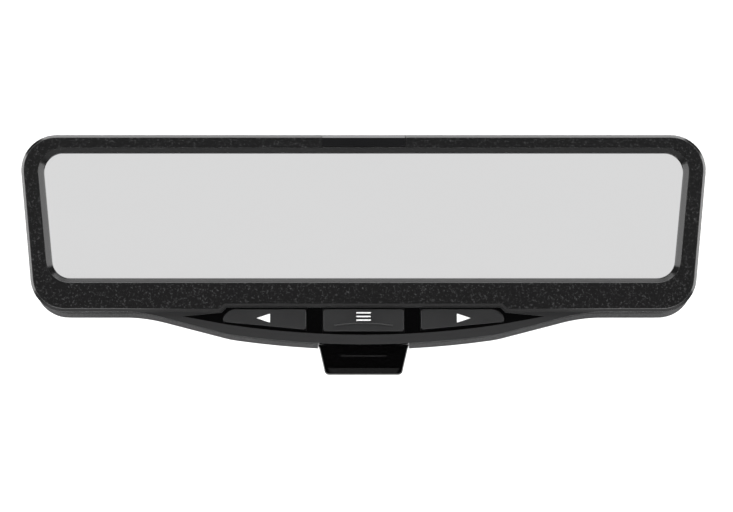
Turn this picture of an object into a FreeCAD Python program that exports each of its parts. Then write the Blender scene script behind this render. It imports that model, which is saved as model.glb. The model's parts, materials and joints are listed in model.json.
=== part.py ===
"""Rear-view mirror with a built-in monitor: a parametric FreeCAD document, one solid per piece.

Millimetres, +Z up, the glass faces -Y, +X to the right of someone who looks into the mirror.
The origin is the middle of the channel floor that seats on the windshield button.
Housing pieces are drawn about the middle of the bezel's front face, then placed from the origin.
"""
import FreeCAD, Part
import os
import re
import Sketcher
from FreeCAD import Placement, Rotation, Vector

SIZES = [
    # outline of the housing
    ("top_width", 257.6, "between the leaning sides at the top edge"),
    ("bottom_width", 244.4, "between the leaning sides at the bottom edge"),
    ("face_height", 66, "bezel without the control hump"),
    ("corner_radius", 13, "corners of the outline"),
    ("hump_half", 82, "middle to where the hump leaves the bottom edge"),
    ("shoulder_half", 50, "middle to the hump's shoulder"),
    ("shoulder_drop", 8.3, "shoulder below the bottom edge"),
    ("hump_drop", 12, "lowest point of the hump below the bottom edge"),
    ("hump_blend", 60, "rounding where the hump leaves the bottom edge"),
    ("shoulder_blend", 40, "rounding of the shoulder"),
    ("bezel_depth", 12, "front face to the parting line"),
    ("cover_depth", 20, "parting line to the back"),
    ("cover_draft", 3, "lean of the cover's sides, degrees"),
    ("cover_rounding", 7, "rounding of the cover's back edge"),
    ("cover_drop", 1.6, "how far the cover stands below the bezel"),
    ("vent_centre", 86, "vents from the middle"),
    ("vent_pitch", 4, "between vents"),
    ("vent_half", 0.8, "half the width of a vent"),
    ("vent_low", 2, "foot of the vents above the middle"),
    ("vent_high", 18, "top of the vents above the middle"),
    ("wall", 2, "walls of the two shells"),
    ("lip", 2.6, "front wall of the bezel"),
    ("edge_chamfer", 1.25, "front edge of the bezel"),
    ("hump_sink", 1.3, "hump below the bezel face"),
    # window and glass
    ("window_top_width", 239.9, "visible glass along its top"),
    ("window_bottom_width", 230.1, "visible glass along its bottom"),
    ("window_top_margin", 6.7, "bezel above the glass"),
    ("window_bottom_margin", 12.5, "bezel below the glass"),
    ("window_radius", 7, "corners of the visible glass"),
    ("window_bevel", 1.9, "slope round the glass"),
    ("glass_overlap", 2.4, "glass hidden behind the lip"),
    ("glass_thick", 2.2, "mirror glass"),
    ("tape_thick", 1, "foam tape behind the glass"),
    ("tape_width", 7, "foam tape"),
    ("gap", 0.1, "between pieces that are assembled face to face"),
    # display
    ("screen_width", 85, "display panel"),
    ("screen_height", 50, "display panel"),
    ("screen_thick", 1.9, "display panel"),
    ("backlight_thick", 2.8, "light unit behind the panel"),
    ("frame_thick", 1.5, "plate that carries the display"),
    ("frame_ear", 6.4, "ears of the plate below the glass"),
    ("ear_outer", 108, "outer ears from the middle"),
    ("ear_inner", 77, "inner ears from the middle"),
    ("screw_line", "=face_height / 2 - 5.4", "screw row below the middle of the face"),
    ("boss_radius", 2.6, "screw bosses"),
    ("boss_floor", 0.4, "left in front of a boss's hole"),
    # boards
    ("board_thick", 1.6, "main board"),
    ("board_left", 48, "inner edge of the main board"),
    ("board_width", 62, "main board"),
    ("board_height", 42, "main board"),
    ("board_level", 20, "front of the main board behind the face"),
    ("board_inset", 4, "board screws in from its corners"),
    ("board_lift", 3, "middle of the main board above the middle"),
    ("capacitor_radius", 2.5, "capacitors"),
    ("capacitor_height", 5.4, "capacitors"),
    ("capacitor_drop", 9, "capacitors below the middle"),
    ("thin_board", 1.2, "button board and sensor board"),
    # sensor window
    ("sensor_half", 15.5, "half the sensor window"),
    ("sensor_margin", "=face_height / 2 - 4.5", "foot of the sensor window above the middle"),
    ("sensor_depth", 1.6, "notch for the sensor window"),
    ("sensor_spread", 6, "light sensors from the middle"),
    ("sensor_rise", 1.3, "light sensors above the foot of the window"),
    ("sight_radius", 0.8, "holes in front of the light sensors"),
    ("sensor_size", 2, "light sensors"),
    ("sensor_height", 1.4, "light sensors"),
    ("sensor_room", 0.8, "front of the glass to the light sensors"),
    ("sensor_foot", 0.6, "foot of the window to the foot of the sensor board"),
    ("sensor_board_half", 12, "half the sensor board"),
    # controls
    ("panel_sink", 1.9, "control panel below the bezel face"),
    ("panel_top", "=face_height / 2 - 1.9", "top of the sunk hump below the middle"),
    ("panel_half", 51, "half the top of the sunk hump"),
    ("panel_edge", 0.35, "control panel in from the sunk hump's edge"),
    ("panel_tip_half", 67, "middle to the tip of the control panel"),
    ("panel_tip_drop", "=face_height / 2 + 1.7", "tip of the control panel below the middle"),
    ("panel_rim", 3.5, "rim below the control panel"),
    ("button_top", "=face_height / 2 - 0.9", "top of the caps below the middle"),
    ("menu_half", 14.8, "half the middle cap"),
    ("menu_low", "=face_height / 2 + 7.2", "foot of the middle cap below the middle"),
    ("side_start", 21.3, "inner side of the outer caps"),
    ("side_shoulder", 47.4, "where the outer caps start to round"),
    ("side_tip", 51.8, "tip of the outer caps"),
    ("side_round", 5.2, "rounding of the outer caps towards their tip"),
    ("side_tip_drop", "=face_height / 2 + 2.3", "tip of the outer caps below the middle"),
    ("side_inner_drop", "=face_height / 2 + 6.6", "inner foot of the outer caps"),
    ("side_outer_drop", "=face_height / 2 + 3.7", "outer foot of the outer caps"),
    ("button_gap", 0.5, "round each cap"),
    ("button_proud", 0.9, "caps above the control panel"),
    ("button_travel", 0.6, "stroke of the caps"),
    ("button_flange", 0.8, "hidden edge that keeps a cap in"),
    ("flange_thick", 0.9, "hidden edge that keeps a cap in"),
    ("cap_corner", 0.9, "corners of the caps"),
    ("cap_edge", 0.25, "front edges of the caps"),
    ("cap_stem", 2, "stem that presses the plunger"),
    ("switch_room", 4, "front wall to the switches"),
    ("plunger_out", 1.2, "plunger in front of its switch, and as deep in it"),
    ("plate_margin", 3, "button board beyond its switches"),
    ("side_centre", 34, "outer switches from the middle"),
    ("switch_drop", "=face_height / 2 + 2.8", "switches below the middle"),
    ("switch_size", 6, "switch body"),
    ("switch_thick", 3.4, "switch body"),
    ("plunger_radius", 1.6, "switch plunger"),
    ("running", 0.05, "radial play of a shaft or plunger"),
    # toggle
    ("bay_half", 17.2, "half the bay of the toggle"),
    ("bay_top", 14, "ceiling of the bay above the middle"),
    ("hinge_level", 22, "toggle pins behind the face"),
    ("hinge_height", 8, "toggle pin above the middle"),
    ("lever_drop", "=face_height / 2 - 3", "lever pin below the middle"),
    ("pin_radius", 1.5, "both pins"),
    ("washer_thick", 0.9, "washers on the lever pin"),
    ("washer_ring", 1.2, "washers round the pin"),
    ("washer_play", 0.5, "washers to the walls of the bay"),
    ("night_tilt", 4.5, "tilt of the housing, degrees"),
    ("lever_swing", 30, "swing of the tab, degrees"),
    ("crank_bar", 1.2, "radius of the lever's crank bar"),
    ("crank_half", 6, "half the crank bar"),
    ("cheek_thick", 2.6, "cheeks that carry the crank bar"),
    ("prong_half", 5.4, "half the fork's prongs"),
    ("prong_thick", 1.8, "fork's prongs"),
    ("barrel_play", 0.6, "barrel of the toggle plate to the walls of the bay"),
    ("barrel_radius", 3.2, "barrel of the toggle plate"),
    ("fork_play", 0.35, "fork to crank bar"),
    ("hub_radius", 2.8, "hub of the lever"),
    ("hub_half", 15, "half the hub of the lever"),
    ("tab_top_half", 16.9, "half the tab under the hump"),
    ("tab_foot_half", 14.4, "half the tab at its foot"),
    ("tab_foot", "=face_height / 2 + 23", "foot of the tab below the middle"),
    ("tab_thick", 3, "tab"),
    ("tab_play", 0.4, "tab behind the bay's front wall"),
    ("tab_lip", 1.9, "height of the tab's lip"),
    ("tab_corner", 2, "lower corners of the tab"),
    ("tab_edge", 0.7, "rounding of the tab's edges"),
    ("tab_relief", 0.5, "lip and rib in front of the tab"),
    ("rib_half", 8.6, "half the tab's rib"),
    ("rib_rise", 6.9, "tab's rib above its foot"),
    ("rib_height", 0.6, "tab's rib"),
    ("web_height", 4.6, "web between the tab and its hub"),
    ("web_rise", 1.6, "web over the foot of the hub"),
    ("neck_thick", 4, "neck over the hub"),
    # ball joint
    ("ball_radius", 8, "ball"),
    ("shell_thick", 1.15, "liner and cup"),
    ("socket_wall", 2.3, "socket round the cup"),
    ("ball_below", 6, "ball below the middle of the face"),
    ("ball_level", 28.5, "ball behind the face"),
    ("mouth_angle", 52, "half the opening for the stem, degrees"),
    ("mouth_step", 3, "ring's opening beyond the cup's, degrees"),
    ("ring_radius", 16.8, "flange of the socket ring"),
    ("ring_thick", 2, "flange of the socket ring"),
    ("ring_spread", 15, "ring screws from the middle of the ball"),
    ("tap_depth", 5, "holes for the ring screws in the toggle plate"),
    ("toggle_half", 13.6, "half the toggle plate"),
    ("toggle_front", 3, "toggle plate in front of its hinge, and its flange"),
    ("toggle_drop", 14.6, "toggle plate below the middle of the ball"),
    ("stem_radius", 3.5, "stem"),
    ("stem_length", 30, "middle of the ball to the end of the stem"),
    # windshield bracket
    ("mount_reach", 46, "ball to the channel floor"),
    ("mount_rise", 14, "ball below the origin"),
    ("foot_width", 28, "bracket foot"),
    ("foot_height", 32, "bracket foot"),
    ("foot_back", 8, "bracket foot in front of the channel floor"),
    ("foot_corner", 4, "corners of the foot"),
    ("foot_edge", 1.5, "rounding of the foot's front"),
    ("channel_depth", 4.6, "channel for the windshield button"),
    ("channel_mouth", 18, "channel at its mouth"),
    ("channel_floor", 21, "channel at its floor"),
    ("channel_stop", 4, "closed end of the channel"),
    ("boss_outer", 6.5, "boss that holds the stem"),
    ("boss_length", 13, "stem inside the boss"),
    ("rib_share", 0.55, "rib over the boss, as a share of the boss"),
    ("rib_start", 3, "rib from the end of the boss"),
    ("rib_peak", 2, "top of the rib above the origin"),
    ("rib_slope", 35, "slope of the rib, degrees"),
    ("rib_top", 5, "where the rib's slope meets the foot's front"),
    ("set_screw_radius", 2, "set screw"),
    ("set_screw_drop", 10.5, "set screw below the origin"),
    ("set_recess", 3, "foot's front to the floor of the set screw's recess"),
    # cable socket
    ("socket_across", 64, "cable socket from the middle"),
    ("socket_up", 8, "cable socket above the middle"),
    ("socket_width", 14, "cable socket"),
    ("socket_height", 10, "cable socket"),
    ("socket_proud", 0.6, "cable socket out of the cover's back"),
    ("socket_hole_width", 10.4, "mouth of the cable socket"),
    ("socket_hole_height", 6.4, "mouth of the cable socket"),
    ("socket_hole_depth", 8, "mouth of the cable socket"),
    ("key_half", 1.6, "half the key of the cable socket"),
    ("key_height", 0.8, "key of the cable socket"),
    ("pin_half", 0.3, "half a contact"),
    ("pin_length", 1.5, "contacts"),
    ("pin_drop", 1.6, "contacts below the middle of the socket"),
    ("screw_radius", 1.1, "self-tapping screws"),
    ("screw_head", 2.2, "heads of the screws"),
    ("recess_half", 1.2, "half the cross recess"),
    ("recess_slot", 0.25, "half the width of the cross recess"),
    ("head_sink", 3, "parting line to the heads of the cover screws"),
    ("long_screw", 9, "board screws and cover screws"),
    ("frame_screw", 4, "frame screws"),
    ("ring_screw", 5, "ring screws"),
    ("board_head", 1.4, "heads of the board screws and frame screws"),
    ("cover_head", 1.8, "heads of the cover screws"),
    ("ring_head", 1.2, "heads of the ring screws"),
    ("cover_outer", 92, "outer cover screws from the middle"),
    ("cover_inner", 62, "inner cover screws from the middle"),
]
NAMES = {name for name, _, _ in SIZES}

# parts on the main board: across from its middle, up from the middle of the face, width, height, thickness
BOARD_PARTS = {"chip": (-4, -3, 12, 12, 1.2), "memory": (-18, -12, 10, 7, 1.1), "coil": (14, 0, 8, 8, 3.2)}
CAPACITORS = (4, 11, 18)
RING_ANGLES = (30, 150, 270)
VENT_STEPS = (-3, -2, -1, 0, 1, 2, 3)
PIN_STEPS = (-3.6, -1.2, 1.2, 3.6)

doc = FreeCAD.newDocument("MirrorMonitor")
sheet = doc.addObject("Spreadsheet::Sheet", "Sizes")
for row, (name, size, note) in enumerate(SIZES, start=1):
    sheet.set(f"A{row}", name)
    sheet.setAlias(f"B{row}", name)
    sheet.set(f"C{row}", note)
for row, (name, size, note) in enumerate(SIZES, start=1):
    sheet.set(f"B{row}", str(size))
doc.recompute()

# places and lengths worked out from the sizes
HOUSING_Y = "(-mount_reach - ball_level)"
HOUSING_Z = "(-mount_rise + ball_below)"
TOP = "(face_height / 2)"
LEAN = "((top_width - bottom_width) / 2 / face_height)"
BACK = "(bezel_depth + cover_depth)"
HUMP_RADIUS = "((shoulder_half ^ 2 + (hump_drop - shoulder_drop) ^ 2) / 2 / (hump_drop - shoulder_drop))"
WINDOW_TOP = "(face_height / 2 - window_top_margin)"
WINDOW_FOOT = "(-face_height / 2 + window_bottom_margin)"
SCREEN_MIDDLE = "((window_bottom_margin - window_top_margin) / 2)"
GLASS_FRONT = "(lip + gap)"
GLASS_BACK = "(lip + gap + glass_thick)"
FRAME_FRONT = "(lip + gap + glass_thick + tape_thick)"
FRAME_BACK = "(lip + gap + glass_thick + tape_thick + frame_thick)"
CAP_FRONT = "(panel_sink - button_proud)"
FLANGE_FRONT = "(lip + button_travel)"
SWITCH_FRONT = "(lip + switch_room)"
PANEL_BOARD = "(lip + switch_room + switch_thick)"
BALL_Y = "(-mount_reach)"
BALL_Z = "(-mount_rise)"
LINER_INNER = "(ball_radius + running)"
CUP_INNER = "(ball_radius + shell_thick + 2 * running)"
SOCKET_INNER = "(ball_radius + 2 * shell_thick + 3 * running)"
SOCKET_OUTER = "(ball_radius + 2 * shell_thick + 3 * running + socket_wall)"
CRANK = ("((hinge_height + lever_drop) * sin(night_tilt)"
         " / (2 * sin(lever_swing / 2) + cos(lever_swing / 2) * sin(night_tilt)))")
TAB_FRONT = "(bezel_depth + wall + tab_play)"

SUBPARTS = []


def full(text):
    """An expression with every size read from the sheet."""
    return re.sub(r"[a-z_]{2,}", lambda hit: f"Sizes.{hit[0]}" if hit[0] in NAMES else hit[0], str(text))


def number(text):
    """What an expression comes to now."""
    found = sheet.evalExpression(full(text))
    return float(getattr(found, "Value", found))


def keep(piece, label):
    """Name a finished sub-part and list it for writing."""
    piece.Label = label
    SUBPARTS.append(piece)
    return piece


# ---- pieces from primitives: places are expressions, in the housing's frame or from the origin ----

def place(piece, spot, frame):
    shift = ("0", HOUSING_Y, HOUSING_Z) if frame == "housing" else ("0", "0", "0")
    for letter, local, offset in zip("xyz", spot, shift):
        piece.setExpression(f"Placement.Base.{letter}", full(f"{local} + {offset}"))


def block(name, x, y, z, frame="housing"):
    """A box between pairs of expressions."""
    box = doc.addObject("Part::Box", name)
    for side, (low, high) in zip(("Length", "Width", "Height"), (x, y, z)):
        box.setExpression(side, full(f"({high}) - ({low})"))
    place(box, (x[0], y[0], z[0]), frame)
    return box


TURNS = {"X": Rotation(Vector(0, 1, 0), 90), "Y": Rotation(Vector(1, 0, 0), -90), "Z": Rotation()}


def rod(name, along, start, radius, length, frame="housing"):
    """A cylinder from start, along +X, +Y or +Z."""
    piece = doc.addObject("Part::Cylinder", name)
    piece.Placement = Placement(Vector(), TURNS[along])
    piece.setExpression("Radius", full(radius))
    piece.setExpression("Height", full(length))
    place(piece, start, frame)
    return piece


def ball(name, radius):
    """A sphere about the ball joint's middle, its poles towards the glass and the stem."""
    piece = doc.addObject("Part::Sphere", name)
    piece.Placement = Placement(Vector(), TURNS["Y"])
    piece.setExpression("Radius", full(radius))
    place(piece, ("0", BALL_Y, BALL_Z), "origin")
    return piece


def cut(name, base, *tools):
    """Base with the tools taken away."""
    piece = doc.addObject("Part::Cut", name)
    piece.Base = base
    piece.Tool = tools[0] if len(tools) == 1 else fuse(name + "_tools", *tools)
    return piece


def fuse(name, *pieces):
    piece = doc.addObject("Part::MultiFuse", name)
    piece.Shapes = list(pieces)
    return piece


def group(name, *pieces):
    """Separate solids that share one node."""
    piece = doc.addObject("Part::Compound", name)
    piece.Links = list(pieces)
    return piece


# ---- pieces from sketches ----

def new_body(name, frame="housing"):
    """A body in the housing's frame, or from the origin."""
    body = doc.addObject("PartDesign::Body", name)
    place(body, ("0", "0", "0"), frame)
    return body


def add_sketch(body, level):
    """An empty sketch parallel to the face, at a level behind it."""
    sketch = body.newObject("Sketcher::SketchObject", body.Name + "_sketch")
    origin_plane = next(item for item in body.Origin.OriginFeatures if item.Role == "XZ_Plane")
    sketch.AttachmentSupport = [(origin_plane, "")]
    sketch.MapMode = "FlatFace"
    sketch.setExpression("AttachmentOffset.Base.z", full(f"-({level})"))
    return sketch


def arc_between(start, end, radius, middle):
    """The short arc from start to end that bulges away from middle."""
    half = (end - start) * 0.5
    across = Vector(-half.y, half.x, 0).normalize()
    if across.dot(start + half - middle) < 0:
        across = -across
    rise = radius - (radius ** 2 - half.Length ** 2) ** 0.5
    crown = start + half + across * rise
    if half.cross(across).z > 0:
        start, end = end, start
    return Part.Arc(start, crown, end)


def nearer_end(edge, point):
    return 1 if (edge.StartPoint - point).Length < (edge.EndPoint - point).Length else 2


def bind(sketch, kind, expression, *reference):
    """A dimension that follows the sheet."""
    index = sketch.addConstraint(Sketcher.Constraint(kind, *reference, number(expression)))
    sketch.setExpression(f"Constraints[{index}]", full(expression))


def draw(sketch, corners):
    """A closed outline of (across, up) corners; a third item makes the next side an arc of that radius."""
    points = [Vector(number(corner[0]), number(corner[1]), 0) for corner in corners]
    middle = sum(points, Vector()) * (1 / len(points))
    first = sketch.GeometryCount
    count = len(points)
    for index, corner in enumerate(corners):
        start = points[index]
        end = points[(index + 1) % count]
        if len(corner) > 2:
            sketch.addGeometry(arc_between(start, end, number(corner[2]), middle))
        else:
            sketch.addGeometry(Part.LineSegment(start, end))
    edges = sketch.Geometry[first:]
    starts = [nearer_end(edges[index], points[index]) for index in range(count)]
    ends = [nearer_end(edges[index - 1], points[index]) for index in range(count)]
    for index in range(count):
        before = first + (index - 1) % count
        here = first + index
        sketch.addConstraint(Sketcher.Constraint("Coincident", before, ends[index], here, starts[index]))
    for index, corner in enumerate(corners):
        if len(corner) > 2:
            bind(sketch, "Radius", corner[2], first + index)
        bind(sketch, "DistanceX", corner[0], -1, 1, first + index, starts[index])
        bind(sketch, "DistanceY", corner[1], -1, 1, first + index, starts[index])


def draw_circle(sketch, across, up, radius):
    """A circle about (across, up)."""
    centre = Vector(number(across), number(up), 0)
    index = sketch.addGeometry(Part.Circle(centre, Vector(0, 0, 1), number(radius)))
    bind(sketch, "Radius", radius, index)
    bind(sketch, "DistanceX", across, -1, 1, index, 3)
    bind(sketch, "DistanceY", up, -1, 1, index, 3)


def pad(body, sketch, length, taper="0"):
    """Material from the sketch towards the back."""
    feature = body.newObject("PartDesign::Pad", body.Name + "_pad")
    feature.Profile = sketch
    feature.Reversed = True
    feature.setExpression("Length", full(length))
    feature.setExpression("TaperAngle", full(taper))
    doc.recompute()
    return feature


def pocket(body, sketch, depth, forwards=False):
    """Material taken away from the sketch towards the back, or forwards."""
    before = body.Shape.Volume
    feature = body.newObject("PartDesign::Pocket", body.Name + "_pocket")
    feature.Profile = sketch
    feature.Reversed = forwards
    feature.setExpression("Length", full(depth))
    doc.recompute()
    if body.Shape.Volume >= before:
        raise RuntimeError(f"{feature.Name} cuts nothing")
    return feature


def dress(body, kind, edges, size):
    """A fillet or chamfer on edges of the body's last feature."""
    base = body.Tip
    feature = body.newObject("PartDesign::" + kind, body.Name + "_" + kind.lower())
    feature.Base = (base, edges)
    feature.setExpression("Radius" if kind == "Fillet" else "Size", full(size))
    doc.recompute()
    return feature


def upright_edges(body, test):
    """Edges that run front to back, picked by where their middle is."""
    found = []
    for index, edge in enumerate(body.Tip.Shape.Edges, start=1):
        span = edge.Vertexes[-1].Point - edge.Vertexes[0].Point
        middle = (edge.Vertexes[-1].Point + edge.Vertexes[0].Point) * 0.5
        if span.Length > 0.3 and abs(span.y) > 0.9 * span.Length and test(middle.x, middle.z):
            found.append(f"Edge{index}")
    return found


def level_edges(body, level, test=lambda x, z: True):
    """Edges that lie at one level behind the face, picked by where their middle is."""
    found = []
    for index, edge in enumerate(body.Tip.Shape.Edges, start=1):
        box = edge.BoundBox
        flat = abs(box.YMin - level) < 0.01 and abs(box.YMax - level) < 0.01
        if flat and test(box.Center.x, box.Center.z):
            found.append(f"Edge{index}")
    return found


def mirrored(right):
    """Right-hand corners, then the same on the left; the last right-hand one may start an arc."""
    left = [(f"-({corner[0]})", corner[1]) for corner in reversed(right)]
    return right + left


def housing_outline(inset, drop="0"):
    """The housing's outline, drawn in by inset all round and lowered by drop along its foot."""
    foot = f"(-{TOP} - {drop} + {inset})"
    return mirrored([
        (f"top_width / 2 - {inset} * (1 + {LEAN})", f"{TOP} - {inset}"),
        (f"bottom_width / 2 - {inset} * (1 - {LEAN})", foot),
        ("hump_half", foot),
        ("shoulder_half", f"{foot} - shoulder_drop", HUMP_RADIUS),
    ])


def window_outline(grow):
    """The visible glass, grown all round."""
    return mirrored([
        (f"window_top_width / 2 + {grow}", f"{WINDOW_TOP} + {grow}"),
        (f"window_bottom_width / 2 + {grow}", f"{WINDOW_FOOT} - {grow}"),
    ])


def hump_outline():
    """The sunk hump: the bezel's straight edge steps up over the buttons."""
    return mirrored([
        ("panel_half", "-panel_top"),
        (f"panel_half + ({TOP} + gap - panel_top)", f"-{TOP} - gap"),
        ("hump_half + corner_radius", f"-{TOP} - gap"),
        ("hump_half + corner_radius", f"-{TOP} - 2 * hump_drop"),
    ])


def panel_outline():
    """The control panel in the hump, with a pointed tip at each end."""
    return mirrored([
        ("panel_half - panel_edge", "-panel_top - panel_edge"),
        (f"panel_half + ({TOP} - panel_top) - panel_edge", f"-{TOP} - panel_edge"),
        ("panel_tip_half", "-panel_tip_drop"),
        ("shoulder_half", f"-{TOP} - shoulder_drop + panel_rim", HUMP_RADIUS),
    ])


def side_cap(side, grow):
    """An outer button's outline, grown all round; side is 1 on the right and -1 on the left."""
    return [
        (f"{side} * (side_start - {grow})", f"-button_top + {grow}"),
        (f"{side} * (side_shoulder + {grow} / 2)", f"-button_top + {grow}", f"side_round + {grow}"),
        (f"{side} * (side_tip + {grow})", "-side_tip_drop"),
        (f"{side} * (side_tip + {grow} / 2)", f"-side_outer_drop - {grow} / 2"),
        (f"{side} * (side_start - {grow})", f"-side_inner_drop - {grow}"),
    ]


def menu_cap(grow):
    """The middle button's outline, grown all round."""
    return mirrored([
        (f"menu_half + {grow}", f"-button_top + {grow}"),
        (f"menu_half + {grow}", f"-menu_low - {grow}"),
    ])


SCREW_SPOTS = ["-cover_outer", "-cover_inner", "cover_inner", "cover_outer"]
EAR_SPOTS = ["-ear_outer", "-ear_inner", "ear_inner", "ear_outer"]
SWITCH_SPOTS = {"left": "-side_centre", "menu": "0", "right": "side_centre"}


def corner_edges(body, corners):
    """The upright edges that stand at some of an outline's corners."""
    spots = [Vector(number(corner[0]), 0, number(corner[1])) for corner in corners]
    near = number("wall") * 1.3
    return upright_edges(body, lambda x, z: any((Vector(x, 0, z) - spot).Length < near for spot in spots))


def round_outline(body, inset, drop="0"):
    """Round every upright edge of a housing outline."""
    outline = housing_outline(inset, drop)
    dress(body, "Fillet", corner_edges(body, outline[:2] + outline[-2:]), f"corner_radius - {inset}")
    dress(body, "Fillet", corner_edges(body, [outline[2], outline[5]]), "hump_blend")
    dress(body, "Fillet", corner_edges(body, outline[3:5]), "shoulder_blend")


def make_bezel():
    body = new_body("bezel")
    outline = add_sketch(body, "0")
    draw(outline, housing_outline("0"))
    pad(body, outline, "bezel_depth")
    round_outline(body, "0")
    hump = add_sketch(body, "0")
    draw(hump, hump_outline())
    pocket(body, hump, "hump_sink")
    dress(body, "Chamfer", level_edges(body, 0), "edge_chamfer")

    window = add_sketch(body, "0")
    draw(window, window_outline("0"))
    pocket(body, window, "lip + gap")
    dress(body, "Fillet", corner_edges(body, window_outline("0")), "window_radius")
    low = number(f"{WINDOW_FOOT} - gap")
    high = number(f"{WINDOW_TOP} + gap")
    wide = number("window_top_width / 2 + gap")
    round_window = level_edges(body, 0, lambda x, z: low < z < high and abs(x) < wide)
    dress(body, "Chamfer", round_window, "window_bevel")

    panel = add_sketch(body, "0")
    draw(panel, panel_outline())
    pocket(body, panel, "panel_sink")

    openings = add_sketch(body, "0")
    draw(openings, side_cap(-1, "button_gap"))
    draw(openings, menu_cap("button_gap"))
    draw(openings, side_cap(1, "button_gap"))
    pocket(body, openings, "lip + gap")

    notch = add_sketch(body, "0")
    side = "sensor_half + gap"
    draw(notch, mirrored([(side, f"{TOP} + 1"), (side, "sensor_margin - gap")]))
    pocket(body, notch, "sensor_depth")
    sight = add_sketch(body, "0")
    for side in ("-", ""):
        draw_circle(sight, f"{side}sensor_spread", "sensor_margin + sensor_rise", "sight_radius")
    pocket(body, sight, "lip + gap")

    cavity = new_body("cavity")
    outline = add_sketch(cavity, "lip")
    draw(outline, housing_outline("wall"))
    pad(cavity, outline, "bezel_depth")
    round_outline(cavity, "wall")

    bosses = [rod("ear_boss", "Y", (spot, "lip", "-screw_line"), "boss_radius", f"{FRAME_FRONT} - lip")
              for spot in EAR_SPOTS]
    bosses += [rod("cover_boss", "Y", (spot, "lip", "-screw_line"), "boss_radius", "bezel_depth - gap - lip")
               for spot in SCREW_SPOTS]
    start = "lip + boss_floor"
    pilots = [rod("pilot", "Y", (spot, start, "-screw_line"), "screw_radius + gap / 5", "bezel_depth")
              for spot in EAR_SPOTS + SCREW_SPOTS]
    hollow = cut("bezel_hollow", body, cavity)
    keep(cut("front_bezel", fuse("bezel_with_bosses", hollow, *bosses), *pilots), "front_bezel")


def make_cover_form(name, inset, drop, depth, rounding):
    """A drafted block with the housing's outline and a rounded back."""
    body = new_body(name)
    outline = add_sketch(body, "bezel_depth")
    draw(outline, housing_outline(inset, drop))
    pad(body, outline, depth, "-cover_draft")
    round_outline(body, inset, drop)
    level = number(f"bezel_depth + {depth}")
    dress(body, "Fillet", level_edges(body, level), rounding)
    return body


def make_cover():
    outer = make_cover_form("cover_outside", "0", "cover_drop", "cover_depth", "cover_rounding")
    inner = make_cover_form("cover_inside", "wall", "0", "cover_depth - wall", "cover_rounding - wall")
    side = "bay_half + wall"
    bay = block("bay_block", (f"-({side})", side), ("bezel_depth", BACK),
                (f"-{TOP} - hump_drop - cover_drop - 1", "bay_top + wall"))
    seats = [(spot, "bezel_depth", "-screw_line") for spot in SCREW_SPOTS]
    posts = [rod("cover_post", "Y", seat, "screw_head + gap + wall", "cover_depth") for seat in seats]
    hollow = cut("cover_hollow", inner, bay, *posts)
    bay_room = block("bay_room", ("-bay_half", "bay_half"), ("bezel_depth + wall", f"{BACK} + 1"),
                     (f"-{TOP} - hump_drop - cover_drop - 2", "bay_top"))
    tab_gap = block("tab_gap", ("-bay_half", "bay_half"), ("bezel_depth - 1", f"{BACK} + 1"),
                    (f"-{TOP} - hump_drop - cover_drop - 2", f"-{TOP} - hump_drop + tab_play"))
    sinks = [rod("sink", "Y", (x, f"{level} + head_sink", z), "screw_head + gap", "cover_depth")
             for x, level, z in seats]
    holes = [rod("cover_hole", "Y", (x, f"{level} - 1", z), "screw_radius + gap", "cover_depth")
             for x, level, z in seats]
    pins = [rod("pin_hole", "X", (f"-({side}) - 1", "hinge_level", height), "pin_radius + gap / 5",
                f"2 * ({side}) + 2") for height in ("hinge_height", "-lever_drop")]
    through = (f"{BACK} - wall - 1", f"{BACK} + 1")
    vent_spots = [f"({side}vent_centre + {step} * vent_pitch)" for side in ("-", "") for step in VENT_STEPS]
    vents = [block("vent", (f"{spot} - vent_half", f"{spot} + vent_half"), through, ("vent_low", "vent_high"))
             for spot in vent_spots]
    wide = "(socket_width / 2 + gap)"
    tall = "(socket_height / 2 + gap)"
    inlet = block("socket_gap", (f"socket_across - {wide}", f"socket_across + {wide}"), through,
                  (f"socket_up - {tall}", f"socket_up + {tall}"))
    openings = [bay_room, tab_gap, *sinks, *holes, *pins, *vents, inlet]
    keep(cut("rear_cover", outer, hollow, *openings), "rear_cover")


def make_glass():
    glass = new_body("glass")
    outline = add_sketch(glass, GLASS_FRONT)
    draw(outline, window_outline("glass_overlap"))
    pad(glass, outline, "glass_thick")
    dress(glass, "Fillet", upright_edges(glass, lambda x, z: True), "window_radius")
    keep(glass, "mirror_glass")

    tape = new_body("tape")
    outline = add_sketch(tape, GLASS_BACK)
    draw(outline, window_outline("0"))
    draw(outline, window_outline("-tape_width"))
    pad(tape, outline, "tape_thick")
    room = block("tape_gap", ("-screen_width / 2 - gap", "screen_width / 2 + gap"),
                 (f"{GLASS_BACK} - 1", f"{FRAME_FRONT} + 1"), ("-face_height / 2", TOP))
    keep(cut("tape_strips", tape, room), "foam_tape")


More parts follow.
